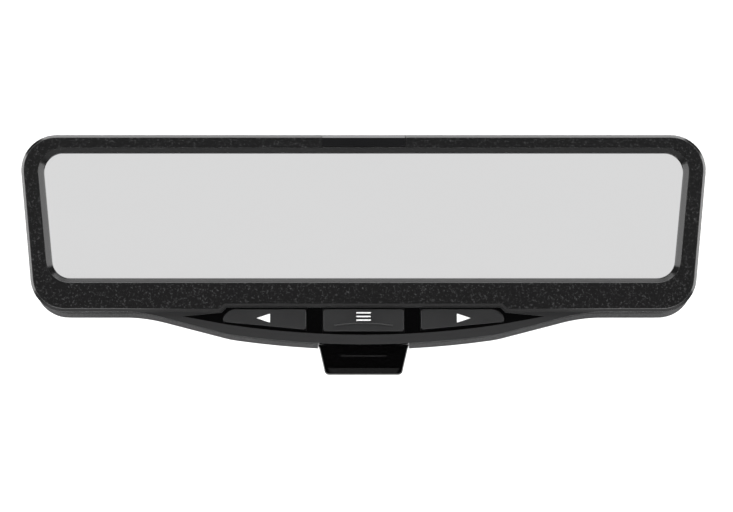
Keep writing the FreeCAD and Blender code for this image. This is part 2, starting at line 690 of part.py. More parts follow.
def make_display():
    half = "screen_width / 2"
    low = f"{SCREEN_MIDDLE} - screen_height / 2"
    high = f"{SCREEN_MIDDLE} + screen_height / 2"
    panel_back = f"{GLASS_BACK} + gap + screen_thick"
    keep(block("panel", (f"-{half}", half), (f"{GLASS_BACK} + gap", panel_back), (low, high)), "lcd_panel")
    light_back = f"{panel_back} + gap + backlight_thick"
    light = block("light", (f"-{half}", half), (f"{panel_back} + gap", light_back), (low, high))
    keep(light, "backlight_unit")

    frame = new_body("frame")
    outline = add_sketch(frame, FRAME_FRONT)
    draw(outline, window_outline("glass_overlap"))
    pad(frame, outline, "frame_thick")
    dress(frame, "Fillet", upright_edges(frame, lambda x, z: True), "window_radius")
    opening = add_sketch(frame, FRAME_FRONT)
    draw(opening, mirrored([(f"{half} + gap", f"{high} + gap"), (f"{half} + gap", f"{low} - gap")]))
    pocket(frame, opening, "frame_thick")
    level = (FRAME_FRONT, FRAME_BACK)
    ears = [block("ear", (f"{spot} - frame_ear / 2", f"{spot} + frame_ear / 2"), level,
                  ("-screw_line - frame_ear / 2", f"{WINDOW_FOOT}")) for spot in EAR_SPOTS]
    post_length = f"board_level - {FRAME_BACK}"
    posts = [rod("board_post", "Y", (x, FRAME_BACK, z), "boss_radius", post_length)
             for x, z in board_corners()]
    ear_holes = [rod("ear_hole", "Y", (spot, "0", "-screw_line"), "screw_radius + gap", "bezel_depth")
                 for spot in EAR_SPOTS]
    post_start = f"{FRAME_BACK} + boss_floor"
    post_holes = [rod("post_hole", "Y", (x, post_start, z), "screw_radius + gap / 5", post_length)
                  for x, z in board_corners()]
    whole = fuse("frame_and_ears", frame, *ears, *posts)
    keep(cut("display_frame", whole, *ear_holes, *post_holes), "display_frame")


def board_corners():
    """Where the main board is screwed down."""
    low = "(-board_height / 2 + board_inset + board_lift)"
    high = "(board_height / 2 - board_inset + board_lift)"
    left = "(board_left + board_inset)"
    right = "(board_left + board_width - board_inset)"
    return [(x, z) for x in (left, right) for z in (low, high)]


def make_boards():
    back = "board_level + board_thick"
    right = "board_left + board_width"
    plate = block("plate", ("board_left", right), ("board_level", back),
                  ("-board_height / 2 + board_lift", "board_height / 2 + board_lift"))
    holes = [rod("board_hole", "Y", (x, "board_level - 1", z), "screw_radius + gap", "board_thick + 2")
             for x, z in board_corners()]
    keep(cut("main_board", plate, *holes), "main_board")
    middle = "board_left + board_width / 2"
    packages = [block(name, (f"{middle} + {across}", f"{middle} + {across + width}"),
                      (back, f"{back} + {thick}"), (str(up), str(up + height)))
                for name, (across, up, width, height, thick) in BOARD_PARTS.items()]
    cans = [rod("capacitor", "Y", (f"{middle} + {across}", back, "-capacitor_drop"), "capacitor_radius",
                "capacitor_height") for across in CAPACITORS]
    keep(group("board_parts", *packages, *cans), "main_board_parts")
    keep(screws("board_screw", board_corners(), back, "long_screw", "board_head"), "board_screws")
    ears = [(spot, "-screw_line") for spot in EAR_SPOTS]
    keep(screws("frame_screw", ears, FRAME_BACK, "frame_screw", "board_head"), "frame_screws")
    seats = [(spot, "-screw_line") for spot in SCREW_SPOTS]
    keep(screws("cover_screw", seats, "bezel_depth + head_sink", "long_screw", "cover_head"), "cover_screws")


def screws(name, spots, head_front, length, head):
    """Equal screws driven forwards, heads behind a level, each with a cross recess."""
    made = []
    for x, z in spots:
        shank = rod(name + "_shank", "Y", (x, f"{head_front} - {length}", z), "screw_radius", length)
        top = rod(name + "_head", "Y", (x, head_front, z), "screw_head", head)
        levels = (f"{head_front} + {head} / 2", f"{head_front} + {head} + 1")
        arms = (("recess_half", "recess_slot"), ("recess_slot", "recess_half"))
        slots = [block(name + "_slot", (f"{x} - {wide}", f"{x} + {wide}"), levels,
                       (f"{z} - {tall}", f"{z} + {tall}")) for wide, tall in arms]
        made.append(cut(name, fuse(name + "_blank", shank, top), *slots))
    return group(name + "s", *made)


def make_socket():
    """The inlet for the camera's lead: a shell that stands on the board and shows in the cover."""
    half_wide = "socket_width / 2"
    half_tall = "socket_height / 2"
    foot = "board_level + board_thick"
    mouth_level = f"{BACK} + socket_proud"
    bottom = f"{mouth_level} - socket_hole_depth"
    outside = block("inlet", (f"socket_across - {half_wide}", f"socket_across + {half_wide}"),
                    (foot, mouth_level), (f"socket_up - {half_tall}", f"socket_up + {half_tall}"))
    hole_wide = "socket_hole_width / 2"
    hole_tall = "socket_hole_height / 2"
    hole = block("inlet_hole", (f"socket_across - {hole_wide}", f"socket_across + {hole_wide}"),
                 (bottom, f"{BACK} + 2"), (f"socket_up - {hole_tall}", f"socket_up + {hole_tall}"))
    key = block("inlet_key", ("socket_across - key_half", "socket_across + key_half"),
                (bottom, f"{BACK} + 2"), ("socket_up", f"socket_up + {hole_tall} + key_height"))
    keep(cut("inlet_shell", outside, hole, key), "cable_socket")
    pin_up = "socket_up - pin_drop"
    pins = [block("pin", (f"socket_across + {step} - pin_half", f"socket_across + {step} + pin_half"),
                  (bottom, f"{bottom} + pin_length"), (f"{pin_up} - pin_half", f"{pin_up} + pin_half"))
            for step in PIN_STEPS]
    keep(group("pins", *pins), "socket_pins")


def make_sensor():
    body = new_body("sensor")
    outline = add_sketch(body, "0")
    draw(outline, mirrored([("sensor_half", TOP), ("sensor_half", "sensor_margin")]))
    pad(body, outline, "sensor_depth - gap / 2")
    top = number(f"{TOP} - gap")
    dress(body, "Chamfer", level_edges(body, 0, lambda x, z: z > top), "edge_chamfer")
    keep(body, "sensor_window")
    board_front = f"{GLASS_BACK} + gap"
    low = "sensor_margin + sensor_foot"
    keep(block("sensor_plate", ("-sensor_board_half", "sensor_board_half"),
               (board_front, f"{board_front} + thin_board"), (low, f"{TOP} - wall - gap")), "sensor_board")
    half = "sensor_size / 2"
    eyes = [block("eye", (f"{side}sensor_spread - {half}", f"{side}sensor_spread + {half}"),
                  (f"{GLASS_FRONT} + sensor_room", board_front), (low, f"{low} + sensor_height"))
            for side in ("-", "")]
    keep(group("eyes", *eyes), "light_sensors")


def make_button(name, outline):
    """A cap with its hidden flange and stem, and the switch plunger that it pushes."""
    cap = new_body(name)
    face = add_sketch(cap, CAP_FRONT)
    draw(face, outline("0"))
    pad(cap, face, f"{FLANGE_FRONT} - {CAP_FRONT}")
    dress(cap, "Fillet", upright_edges(cap, lambda x, z: True), "cap_corner")
    dress(cap, "Fillet", level_edges(cap, number(CAP_FRONT)), "cap_edge")
    flange = add_sketch(cap, FLANGE_FRONT)
    draw(flange, outline("button_flange + button_gap"))
    pad(cap, flange, "flange_thick")
    spot = SWITCH_SPOTS[name]
    stem_start = f"{FLANGE_FRONT} + flange_thick / 2"
    stem_end = f"{SWITCH_FRONT} - plunger_out"
    stem_length = f"{stem_end} - ({stem_start})"
    stem = rod(name + "_stem", "Y", (spot, stem_start, "-switch_drop"), "cap_stem", stem_length)
    keep(fuse(name + "_cap", cap, stem), name + "_button")
    plunger = rod(name + "_pin", "Y", (spot, stem_end, "-switch_drop"), "plunger_radius", "2 * plunger_out")
    keep(plunger, name + "_plunger")


def make_controls():
    make_button("left", lambda grow: side_cap(-1, grow))
    make_button("menu", menu_cap)
    make_button("right", lambda grow: side_cap(1, grow))
    made = []
    for spot in SWITCH_SPOTS.values():
        half = "switch_size / 2"
        can = block("switch_can", (f"{spot} - {half}", f"{spot} + {half}"), (SWITCH_FRONT, PANEL_BOARD),
                    (f"-switch_drop - {half}", f"-switch_drop + {half}"))
        bore = rod("switch_bore", "Y", (spot, f"{SWITCH_FRONT} - 1", "-switch_drop"),
                   "plunger_radius + running", "1 + plunger_out + button_travel + 8 * running")
        made.append(cut("switch", can, bore))
    keep(group("switches", *made), "tact_switches")
    reach = "side_centre + switch_size / 2 + plate_margin"
    keep(block("button_plate", (f"-({reach})", reach), (PANEL_BOARD, f"{PANEL_BOARD} + thin_board"),
               ("-switch_drop - switch_size / 2", "-switch_drop + switch_size / 2 + 1")), "button_board")


def make_toggle_pins():
    for label, height in (("hinge_pin", "hinge_height"), ("lever_pin", "-lever_drop")):
        start = ("-bay_half - wall", "hinge_level", height)
        pin = rod(label, "X", start, "pin_radius", "2 * (bay_half + wall)")
        keep(pin, label)
    washers = []
    for start in ("-bay_half + washer_play", "bay_half - washer_play - washer_thick"):
        centre = (start, "hinge_level", "-lever_drop")
        disc = rod("washer_disc", "X", centre, "pin_radius + washer_ring", "washer_thick")
        hole = rod("washer_hole", "X", centre, "pin_radius + running", "washer_thick")
        washers.append(cut("washer", disc, hole))
    keep(group("washers", *washers), "lever_washers")


def crank_middle():
    """Where the crank bar's axis lies when the lever is at rest."""
    half = "lever_swing / 2"
    return (f"hinge_level + {CRANK} * sin({half})", f"-lever_drop + {CRANK} * cos({half})")


def make_tab():
    """The day and night lever: a blade under the hump, a hub on its pin and a crank bar above the pin."""
    body = new_body("blade")
    outline = add_sketch(body, TAB_FRONT)
    blade_top = "lever_drop + hub_radius"
    draw(outline, mirrored([("tab_top_half", f"-({blade_top})"), ("tab_top_half", f"-{TOP} - hump_drop"),
                            ("tab_foot_half", "-tab_foot")]))
    pad(body, outline, "tab_thick")
    foot = -number("tab_foot - tab_corner")
    dress(body, "Fillet", upright_edges(body, lambda x, z: z < foot), "tab_corner")
    hump = -number(f"{TOP} + hump_drop")
    for face in (TAB_FRONT, f"{TAB_FRONT} + tab_thick"):
        dress(body, "Fillet", level_edges(body, number(face), lambda x, z: z < hump), "tab_edge")
    lip = add_sketch(body, f"{TAB_FRONT} - tab_relief")
    draw(lip, mirrored([("tab_foot_half - tab_corner / 2", "-tab_foot + tab_edge + tab_lip"),
                        ("tab_foot_half - tab_corner", "-tab_foot + tab_edge")]))
    pad(body, lip, "tab_thick / 2")
    rib = add_sketch(body, f"{TAB_FRONT} - tab_relief")
    rib_foot = "-tab_foot + rib_rise"
    draw(rib, mirrored([("rib_half", f"{rib_foot} + rib_height"), ("rib_half", rib_foot)]))
    pad(body, rib, "tab_thick / 2")
    across = ("-hub_half", "hub_half")
    web_top = "-lever_drop - hub_radius + web_rise"
    web = block("web", across, (TAB_FRONT, "hinge_level"), (f"{web_top} - web_height", web_top))
    neck = block("neck", across, ("hinge_level - neck_thick / 2", "hinge_level + neck_thick / 2"),
                 ("-lever_drop - hub_radius", "-lever_drop"))
    hub = rod("hub", "X", ("-hub_half", "hinge_level", "-lever_drop"), "hub_radius", "2 * hub_half")
    half_swing = "lever_swing / 2"
    bar_y, bar_z = crank_middle()
    bar = rod("bar", "X", ("-crank_half", bar_y, bar_z), "crank_bar", "2 * crank_half")
    cheeks = []
    for start in ("-crank_half - cheek_thick", "crank_half"):
        corner_y = f"hinge_level - crank_bar * cos({half_swing})"
        corner_z = f"-lever_drop + crank_bar * sin({half_swing})"
        cheek = doc.addObject("Part::Box", "cheek")
        cheek.Placement = Placement(Vector(), Rotation(Vector(1, 0, 0), 0))
        cheek.setExpression("Length", full("cheek_thick"))
        cheek.setExpression("Width", full("2 * crank_bar"))
        cheek.setExpression("Height", full(f"{CRANK} + crank_bar"))
        cheek.setExpression("Placement.Rotation.Angle", full(f"-({half_swing})"))
        place(cheek, (start, corner_y, corner_z), "housing")
        cheeks.append(cheek)
    hole = rod("lever_bore", "X", ("-hub_half - 1", "hinge_level", "-lever_drop"), "pin_radius + running",
               "2 * hub_half + 2")
    keep(cut("day_night_tab", fuse("lever", body, web, neck, hub, bar, *cheeks), hole), "day_night_tab")


def shell(name, inner, outer):
    """A hollow ball about the ball joint's middle, open towards the stem."""
    hollow = cut(name + "_hollow", ball(name + "_outside", outer), ball(name + "_inside", inner))
    return cut(name, hollow, mouth(name, "mouth_angle"))


def mouth(name, angle):
    """The cone that the stem swings in."""
    cone = doc.addObject("Part::Cone", name + "_mouth")
    cone.Placement = Placement(Vector(), TURNS["Y"])
    cone.Radius1 = 0
    cone.setExpression("Radius2", full(f"2 * ring_radius * tan({angle})"))
    cone.setExpression("Height", full("2 * ring_radius"))
    place(cone, ("0", BALL_Y, BALL_Z), "origin")
    return cone


def make_ball_joint():
    keep(shell("liner", LINER_INNER, f"{LINER_INNER} + shell_thick"), "ball_liner")
    keep(shell("cup", CUP_INNER, f"{CUP_INNER} + shell_thick"), "friction_cup")
    drop = "-ball_below"
    reach = "2 * ring_radius"
    split = "ball_level + running"
    around = (f"-{reach}", reach)
    about = (f"{drop} - {reach}", f"{drop} + {reach}")
    behind = block("behind", around, ("ball_level", f"ball_level + {reach}"), about)
    front_half = cut("socket_front", ball("socket_ball", SOCKET_OUTER), behind)
    plate = block("toggle_block", ("-toggle_half", "toggle_half"),
                  ("hinge_level - toggle_front", "ball_level"), (f"{drop} - toggle_drop", "hinge_height"))
    flange_start = ("0", "ball_level - toggle_front", drop)
    flange = rod("toggle_flange", "Y", flange_start, "ring_radius", "toggle_front")
    barrel = rod("barrel", "X", ("-bay_half + barrel_play", "hinge_level", "hinge_height"), "barrel_radius",
                 "2 * (bay_half - barrel_play)")
    bar_y, bar_z = crank_middle()
    inner = "(crank_bar + fork_play)"
    outer = "(crank_bar + fork_play + prong_thick)"
    prong_sides = ((f"{bar_y} - {outer}", f"{bar_y} - {inner}"), (f"{bar_y} + {inner}", f"{bar_y} + {outer}"))
    prong_ends = (f"{bar_z} - crank_bar", f"{drop} - toggle_half")
    prongs = [block("prong", ("-prong_half", "prong_half"), side, prong_ends) for side in prong_sides]
    hinge_bore = rod("hinge_bore", "X", ("-bay_half", "hinge_level", "hinge_height"), "pin_radius + running",
                     "2 * bay_half")
    spots = [(f"ring_spread * cos({angle})", f"{drop} + ring_spread * sin({angle})") for angle in RING_ANGLES]
    taps = [rod("ring_tap", "Y", (x, "ball_level - tap_depth", z), "screw_radius + gap / 5", "tap_depth + 1")
            for x, z in spots]
    keep(cut("toggle_plate", fuse("toggle_solid", front_half, plate, flange, barrel, *prongs),
             ball("toggle_hollow", SOCKET_INNER), hinge_bore, *taps), "toggle_plate")

    ahead = block("ahead", around, (f"ball_level - {reach}", split), about)
    back_half = cut("ring_ball_back", ball("ring_ball", SOCKET_OUTER), ahead)
    disc = rod("ring_disc", "Y", ("0", split, drop), "ring_radius", "ring_thick")
    holes = [rod("ring_hole", "Y", (x, "ball_level", z), "screw_radius + gap", "3 * ring_thick")
             for x, z in spots]
    keep(cut("socket_ring", fuse("ring_solid", back_half, disc), ball("ring_hollow", SOCKET_INNER),
             mouth("ring", "(mouth_angle + mouth_step)"), *holes), "socket_ring")
    keep(screws("ring_screw", spots, f"{split} + ring_thick", "ring_screw", "ring_head"), "ring_screws")


def make_mount():
    centre = ("0", BALL_Y, BALL_Z)
    stem = rod("stem", "Y", centre, "stem_radius", "stem_length", "origin")
    keep(fuse("stud", ball("stud_ball", "ball_radius"), stem), "ball_stud")

    half = "foot_width / 2"
    foot = new_body("foot", "origin")
    outline = add_sketch(foot, "-foot_back")
    draw(outline, mirrored([(half, "foot_height / 2"), (half, "-foot_height / 2")]))
    pad(foot, outline, "foot_back + channel_depth")
    dress(foot, "Fillet", upright_edges(foot, lambda x, z: True), "foot_corner")
    dress(foot, "Fillet", level_edges(foot, -number("foot_back")), "foot_edge")
    boss_start = f"{BALL_Y} + stem_length - boss_length"
    boss = rod("boss", "Y", ("0", boss_start, BALL_Z), "boss_outer", f"-({boss_start})", "origin")
    rib_half = "boss_outer * rib_share"
    rib = block("boss_rib", (f"-{rib_half}", rib_half), (f"{boss_start} + rib_start", "-1"),
                (BALL_Z, "rib_peak"), "origin")
    above = block("above_rib", ("-foot_width", "foot_width"), (BALL_Y, "foot_width"), ("0", "foot_height"),
                  "origin")
    above.Placement = Placement(Vector(), Rotation(Vector(1, 0, 0), 0))
    above.setExpression("Placement.Rotation.Angle", full("rib_slope"))
    start_y = f"-foot_back + {BALL_Y} * cos(rib_slope)"
    start_z = f"rib_top + {BALL_Y} * sin(rib_slope)"
    place(above, ("-foot_width", start_y, start_z), "origin")
    stem_hole = rod("stem_hole", "Y", centre, "stem_radius + gap / 5", "stem_length + gap", "origin")
    screw_start = "-foot_back + boss_floor"
    blank = rod("set_blank", "Y", ("0", screw_start, "-set_screw_drop"), "set_screw_radius",
                f"-gap - ({screw_start})", "origin")
    recess = rod("set_recess", "Y", ("0", "-foot_back", "-set_screw_drop"), "set_screw_radius / 2",
                 "set_recess", "origin")
    keep(cut("set", blank, recess), "set_screw")
    screw_hole = rod("set_hole", "Y", ("0", "-foot_back - 1", "-set_screw_drop"),
                     "set_screw_radius + gap / 5", "foot_back + 2", "origin")
    solid = fuse("bracket_solid", foot, boss, cut("rib_cut", rib, above))
    keep(cut("bracket", solid, stem_hole, screw_hole, new_channel()), "windshield_bracket")


def new_channel():
    """The dovetail channel that slides down over the windshield button."""
    body = doc.addObject("PartDesign::Body", "channel")
    sketch = body.newObject("Sketcher::SketchObject", "channel_sketch")
    origin_plane = next(item for item in body.Origin.OriginFeatures if item.Role == "XY_Plane")
    sketch.AttachmentSupport = [(origin_plane, "")]
    sketch.MapMode = "FlatFace"
    sketch.setExpression("AttachmentOffset.Base.z", full("-foot_height / 2 - 1"))
    draw(sketch, mirrored([("channel_mouth / 2", "channel_depth + gap"), ("channel_floor / 2", "0")]))
    feature = body.newObject("PartDesign::Pad", "channel_pad")
    feature.Profile = sketch
    feature.setExpression("Length", full("foot_height + 1 - channel_stop"))
    return body


def write_parts():
    """Stop on any failed object, then write each sub-part."""
    doc.recompute()
    for item in doc.Objects:
        if "Invalid" in item.State or "Error" in item.State:
            raise RuntimeError(f"{item.Label} failed: {item.State}")
    for piece in SUBPARTS:
        if piece.Shape.isNull() or not piece.Shape.isValid():
            raise RuntimeError(f"{piece.Label} has no valid shape")
    os.makedirs("parts", exist_ok=True)
    for piece in SUBPARTS:
        piece.Shape.exportStep(f"parts/{piece.Label}.step")
        print(piece.Label, len(piece.Shape.Solids), round(piece.Shape.Volume, 1))


make_bezel()
make_cover()
make_glass()
make_display()
make_boards()
make_socket()
make_sensor()
make_controls()
make_toggle_pins()
make_tab()
make_ball_joint()
make_mount()
write_parts()
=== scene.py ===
"""Rear-view mirror with a built-in monitor: finishes, printed marks, softened mouldings and the stage."""

import json
from math import asin, cos, radians, sin, sqrt

import bmesh
import bpy
from mathutils import Matrix, Vector


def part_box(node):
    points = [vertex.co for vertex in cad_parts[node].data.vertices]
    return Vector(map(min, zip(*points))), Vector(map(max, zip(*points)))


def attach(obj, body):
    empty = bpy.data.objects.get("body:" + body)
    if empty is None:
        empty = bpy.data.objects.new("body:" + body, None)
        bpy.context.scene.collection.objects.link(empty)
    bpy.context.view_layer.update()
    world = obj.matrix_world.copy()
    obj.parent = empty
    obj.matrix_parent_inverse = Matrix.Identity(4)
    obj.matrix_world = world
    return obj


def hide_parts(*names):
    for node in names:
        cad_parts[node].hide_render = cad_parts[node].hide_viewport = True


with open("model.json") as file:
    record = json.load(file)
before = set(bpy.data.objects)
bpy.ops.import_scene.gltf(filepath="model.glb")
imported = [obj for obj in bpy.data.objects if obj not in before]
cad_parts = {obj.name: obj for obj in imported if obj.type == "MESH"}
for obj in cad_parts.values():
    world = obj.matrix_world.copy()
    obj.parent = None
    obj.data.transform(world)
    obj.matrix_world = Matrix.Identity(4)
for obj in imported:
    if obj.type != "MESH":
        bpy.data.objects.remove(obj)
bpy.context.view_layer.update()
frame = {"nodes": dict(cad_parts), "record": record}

bl_info = {
    "name": "Mirror Monitor Finisher",
    "version": (1, 0, 0),
    "blender": (4, 5, 0),
    "location": "3D View > Sidebar > Mirror Monitor",
    "description": "Gives a rear-view mirror monitor its finishes, marks and stage",
    "category": "Object",
}

MM = 0.001
FACE_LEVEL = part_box("front_bezel")[0][1]
TAB_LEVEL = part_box("day_night_tab")[0][1]
HUMP_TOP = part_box("menu_button")[1][2] + 2 * MM

# how far behind the bezel's face its grain fades out, its hump starts and its panel starts
GRAIN_FADE = (0.03 * MM, 0.22 * MM)
HUMP_START = (1.15 * MM, 1.25 * MM)
PANEL_START = (1.5 * MM, 1.8 * MM)
RAISED_FADE = (0.1 * MM, 0.4 * MM)  # behind the front of the tab's rib and lip

# what the edge rounding takes for a sharp edge, degrees
SHARP_ANGLE = 22

MARK_RISE = 0.9 * MM
RIDGE_FALL = 1.65 * MM
ARROW_CORNER = 0.18 * MM
RIDGE_SIDES = 12
RIDGE_STEPS = 24

# soft lights: name, place, target, width, height and the setting that holds its power
LIGHTS = (
    ("top_light", (0, -0.15, 1.1), (0, -0.06, 0), 1.5, 1.1, "top_light"),
    ("left_light", (-1.2, -0.1, 0.1), (0, -0.07, 0), 0.9, 1.0, "side_light"),
    ("right_light", (1.2, -0.1, 0.1), (0, -0.07, 0), 0.9, 1.0, "side_light"),
    ("wall_light", (0, 1.2, 1.9), (0, 3, 0.3), 3.2, 1.0, "wall_light"),
    ("low_light", (0, 0.25, -0.75), (0, 0, -0.05), 1.2, 0.4, "low_light"),
)
FLOOR_SIZE = 9
FLOOR_MIDDLE = -1.5
WALL_HEIGHT = 4.5
WALL_START = 2.9
COVE = 0.8
SKY_FADE = (radians(3.6), radians(4.3))
SKY_FLOOR = 0.02
CAMERA_TARGET = Vector((1.1 * MM, FACE_LEVEL, -20.4 * MM))


# ---- selection and mesh helpers ----

def clear_selection():
    """Leave edit mode and select nothing."""
    if bpy.context.object and bpy.context.object.mode != "OBJECT":
        bpy.ops.object.mode_set(mode="OBJECT")
    bpy.ops.object.select_all(action="DESELECT")


def make_active(piece):
    """Select one piece alone."""
    clear_selection()
    piece.select_set(True)
    bpy.context.view_layer.objects.active = piece


def start_edit(piece, kind="FACE"):
    """Open a piece in edit mode with nothing selected."""
    make_active(piece)
    bpy.ops.object.mode_set(mode="EDIT")
    bpy.ops.mesh.select_mode(type=kind)
    bpy.ops.mesh.select_all(action="DESELECT")


def end_edit():
    bpy.ops.object.mode_set(mode="OBJECT")


def pick_edges(piece, test):
    """Select the edges whose middle and span pass a test, in edit mode."""
    mesh = bmesh.from_edit_mesh(piece.data)
    for edge in mesh.edges:
        start, end = (point.co for point in edge.verts)
        edge.select_set(test((start + end) / 2, end - start))
    mesh.select_flush(True)
    bmesh.update_edit_mesh(piece.data)


def settle(piece, name):
    """Name a piece and move its place into its mesh."""
    make_active(piece)
    bpy.ops.object.transform_apply(location=True, rotation=True, scale=True)
    piece.name = name
    piece.data.name = name
    return piece


def face_outwards(piece):
    """Merge doubled points and turn every face outwards."""
    start_edit(piece)
    bpy.ops.mesh.select_all(action="SELECT")
    bpy.ops.mesh.remove_doubles(threshold=0.001 * MM)
    bpy.ops.mesh.normals_make_consistent(inside=False)
    end_edit()


def round_edges(piece, width, segments):
    """Round the sharp edges of a piece."""
    make_active(piece)
    modifier = piece.modifiers.new("Round edges", "BEVEL")
    modifier.limit_method = "ANGLE"
    modifier.angle_limit = radians(SHARP_ANGLE)
    modifier.width = width
    modifier.segments = segments
    bpy.ops.object.modifier_apply(modifier=modifier.name)


def shade(piece, angle=30):
    """Shade curved faces smooth and keep flat faces flat beside them."""
    make_active(piece)
    bpy.ops.object.shade_smooth_by_angle(angle=radians(angle))
    modifier = piece.modifiers.new("Even shading", "WEIGHTED_NORMAL")
    modifier.keep_sharp = True
    bpy.ops.object.modifier_apply(modifier=modifier.name)


def add_box(name, low, high):
    """A box between two corners."""
    clear_selection()
    bpy.ops.mesh.primitive_cube_add(size=1, location=(Vector(low) + Vector(high)) / 2)
    piece = bpy.context.object
    piece.scale = Vector(high) - Vector(low)
    return settle(piece, name)


def finish_piece(piece, body, material):
    """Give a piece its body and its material."""
    piece.data.materials.clear()
    piece.data.materials.append(material)
    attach(piece, body)


def body_of_node(node):
    """The body that a CAD node rides on."""
    bodies = frame["record"]["behaviour"]["bodies"]
    return next(body for body, nodes in bodies.items() if node in nodes)


def slot_of_node(node):
    """The material slot of a CAD node."""
    return next(part["material_slot"] for part in frame["record"]["subparts"] if part["node"] == node)


# ---- material helpers ----

class Recipe:
    """A material under construction: its node tree, its shader and its object coordinates."""

    def __init__(self, name):
        self.material = bpy.data.materials.get(name) or bpy.data.materials.new(name)
        self.material.use_nodes = True
        self.tree = self.material.node_tree
        self.tree.nodes.clear()
        output = self.add("ShaderNodeOutputMaterial")
        self.shader = self.add("ShaderNodeBsdfPrincipled")
        self.link(self.shader.outputs["BSDF"], output.inputs["Surface"])
        self.place = self.add("ShaderNodeTexCoord").outputs["Object"]

    def add(self, kind, **settings):
        node = self.tree.nodes.new(kind)
        for name, value in settings.items():
            setattr(node, name, value)
        return node

    def link(self, start, end):
        self.tree.links.new(start, end)

    def set(self, **values):
        """Set the shader's own sockets; an underscore in a name stands for a space."""
        for name, value in values.items():
            self.shader.inputs[name.replace("_", " ")].default_value = value

    def noise(self, size, detail=3.0, roughness=0.6, stretch=(1, 1, 1)):
        """Noise with features about size metres across."""
        mapping = self.add("ShaderNodeMapping")
        mapping.inputs["Scale"].default_value = stretch
        self.link(self.place, mapping.inputs["Vector"])
        texture = self.add("ShaderNodeTexNoise")
        texture.inputs["Scale"].default_value = 1 / size
        texture.inputs["Detail"].default_value = detail
        texture.inputs["Roughness"].default_value = roughness
        self.link(mapping.outputs["Vector"], texture.inputs["Vector"])
        return texture.outputs["Fac"]

    def cells(self, size, feature="F1"):
        """Cells about size metres across."""
        texture = self.add("ShaderNodeTexVoronoi", feature=feature)
        texture.inputs["Scale"].default_value = 1 / size
        self.link(self.place, texture.inputs["Vector"])
        return texture.outputs["Distance"]

    def spread(self, source, low, high, start=0.0, end=1.0, smooth=False):
        """Map a value from start..end to low..high."""
        node = self.add("ShaderNodeMapRange", interpolation_type="SMOOTHSTEP" if smooth else "LINEAR")
        node.inputs["From Min"].default_value = start
        node.inputs["From Max"].default_value = end
        node.inputs["To Min"].default_value = low
        node.inputs["To Max"].default_value = high
        self.link(source, node.inputs["Value"])
        return node.outputs["Result"]

    def combine(self, first, second, operation="MULTIPLY"):
        """Two values multiplied, or joined by another operation."""
        node = self.add("ShaderNodeMath", operation=operation)
        self.link(first, node.inputs[0])
        self.link(second, node.inputs[1])
        return node.outputs["Value"]

    def blend(self, factor, first, second):
        """A colour that goes from first to second with a factor."""
        node = self.add("ShaderNodeMix", data_type="RGBA")
        node.inputs[6].default_value = (*first, 1)
        node.inputs[7].default_value = (*second, 1)
        self.link(factor, node.inputs["Factor"])
        return node.outputs[2]

    def bump(self, height, depth):
        node = self.add("ShaderNodeBump")
        node.inputs["Distance"].default_value = depth
        self.link(height, node.inputs["Height"])
        self.link(node.outputs["Normal"], self.shader.inputs["Normal"])

    def axis(self, letter):
        node = self.add("ShaderNodeSeparateXYZ")
        self.link(self.place, node.inputs["Vector"])
        return node.outputs[letter]


def moulded(name, dark, light, roughness, specular, grain=0.45 * MM, depth=0.02 * MM):
    """Moulded plastic with a fine grain."""
    recipe = Recipe(name)
    grains = recipe.noise(grain, 4.0, 0.65)
    colour = recipe.blend(recipe.spread(grains, 0, 1, 0.3, 0.7), dark, light)
    recipe.link(colour, recipe.shader.inputs["Base Color"])
    wear = recipe.spread(recipe.noise(9 * MM, 2.0), roughness - 0.05, roughness + 0.05, 0.3, 0.7)
    recipe.link(wear, recipe.shader.inputs["Roughness"])
    recipe.set(Specular_IOR_Level=specular)
    recipe.bump(grains, depth)
    return recipe.material


def grained_bezel(name, dark, light):
    """Black plastic: grain on the flat face, satin on its slopes and hump, polished in the sunk panel; a
    painted highlight lightens the hump's colour.
    """
    recipe = Recipe(name)
    depth = recipe.axis("Y")
    fade, hump, panel = ((FACE_LEVEL + start, FACE_LEVEL + end) for start, end in
                         (GRAIN_FADE, HUMP_START, PANEL_START))
    on_face = recipe.spread(depth, 1, 0, *fade, smooth=True)
    above_panel = recipe.spread(depth, 1, 0, *panel)
    on_hump = recipe.combine(recipe.spread(depth, 0, 1, *hump), above_panel)
    on_hump = recipe.combine(on_hump, recipe.spread(recipe.axis("Z"), 1, 0, HUMP_TOP - 0.1 * MM, HUMP_TOP))
    grains = recipe.noise(0.85 * MM, 5.0, 0.75)
    speckle = recipe.combine(recipe.spread(grains, 0, 1, 0.54, 0.76), on_face)
    slopes = recipe.spread(above_panel, 0.09, 0.21)
    rough = recipe.combine(recipe.spread(on_face, 1, 3.0), slopes)
    rough = recipe.combine(rough, recipe.spread(on_hump, 1, 2.4))
    # grain speckle on the face; on the hump a painted highlight lifts the colour 30% towards the light grain
    # colour
    speckle_and_hump_highlight = recipe.combine(speckle, recipe.spread(on_hump, 0, 0.3), "MAXIMUM")
    recipe.link(recipe.blend(speckle_and_hump_highlight, dark, light), recipe.shader.inputs["Base Color"])
    recipe.link(rough, recipe.shader.inputs["Roughness"])
    recipe.set(Specular_IOR_Level=0.12)
    recipe.bump(recipe.combine(grains, on_face), 0.12 * MM)
    return recipe.material


def polished_tab(name, colour):
    """Polished black plastic whose raised rib and lip are satin, with a painted highlight that lightens their
    colour.
    """
    recipe = Recipe(name)
    ripple = recipe.noise(14 * MM, 2.0, 0.5)
    # painted highlight: the raised rib and lip get twice the tab's colour
    rib_and_lip_highlight = tuple(channel * 2 for channel in colour)
    raised = recipe.spread(recipe.axis("Y"), 1, 0, *(TAB_LEVEL + level for level in RAISED_FADE))
    recipe.link(recipe.blend(raised, colour, rib_and_lip_highlight), recipe.shader.inputs["Base Color"])
    recipe.link(recipe.spread(raised, 0.05, 0.24), recipe.shader.inputs["Roughness"])
    recipe.set(Specular_IOR_Level=0.4)
    recipe.bump(ripple, 0.004 * MM)
    return recipe.material


